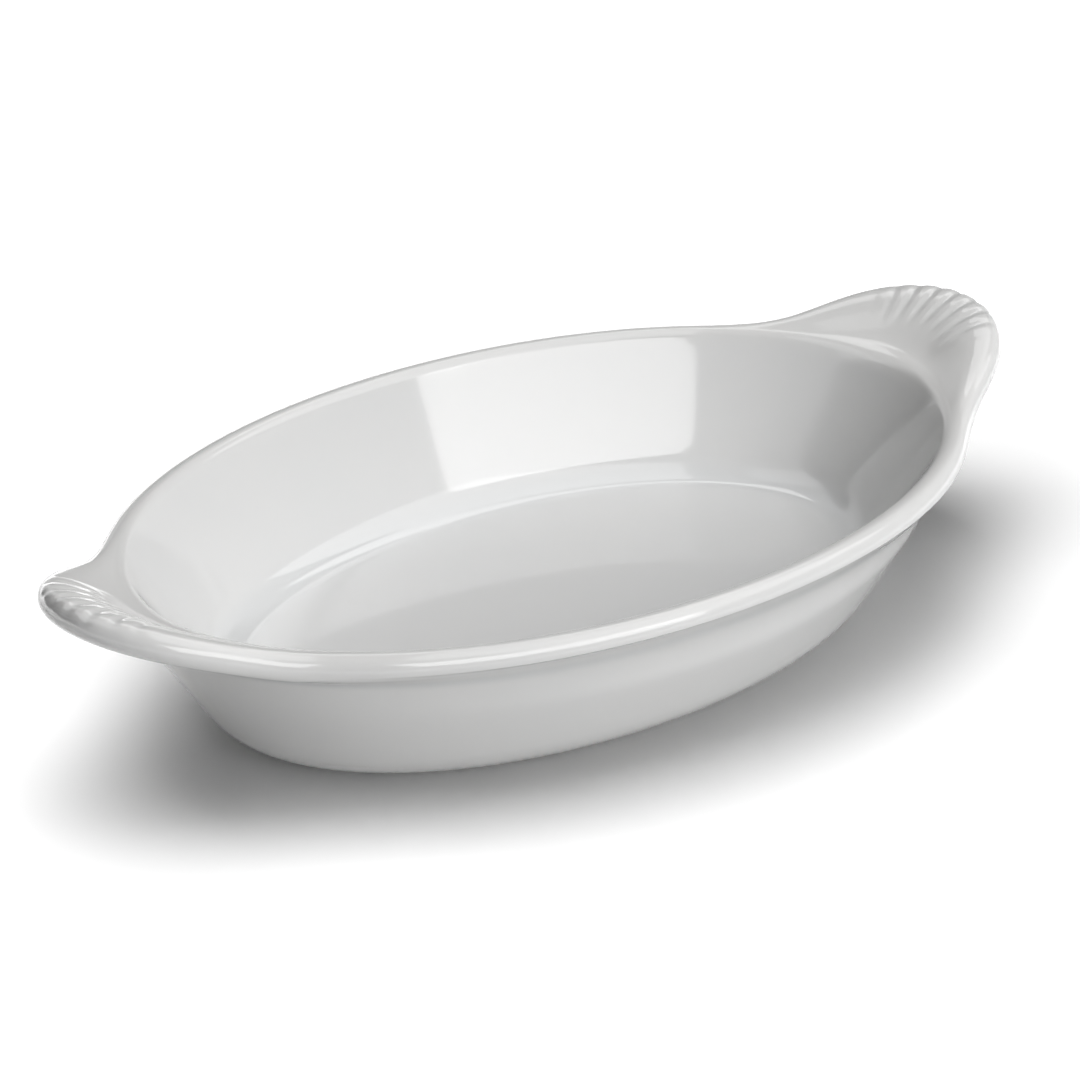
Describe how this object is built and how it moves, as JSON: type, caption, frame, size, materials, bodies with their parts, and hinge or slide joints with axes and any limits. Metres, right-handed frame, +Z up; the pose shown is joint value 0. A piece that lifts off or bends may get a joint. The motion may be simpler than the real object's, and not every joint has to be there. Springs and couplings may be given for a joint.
{
  "type": "rarebit dish",
  "caption": "Shallow oval white china baking dish with a flared wall, a rolled rim and a fluted shell-shaped lug at each end, for baking and serving single portions.",
  "frame": {"origin": "centre of the dish on the surface that its foot stands on", "axes": "+Z up out of the open well, +X along the dish towards the right-hand lug, +Y across it"},
  "size_m": [0.2368, 0.131, 0.0467],
  "materials": {
    "glaze": "clear gloss glaze on white vitrified china",
    "biscuit": "bare ground biscuit of the standing ring"
  },
  "bodies": {
    "root": {"foot_ring": "biscuit", "well_floor": "glaze", "side_wall": "glaze", "rim_roll": "glaze", "right_shell_lug": "glaze", "left_shell_lug": "glaze"}
  },
  "joints": []
}
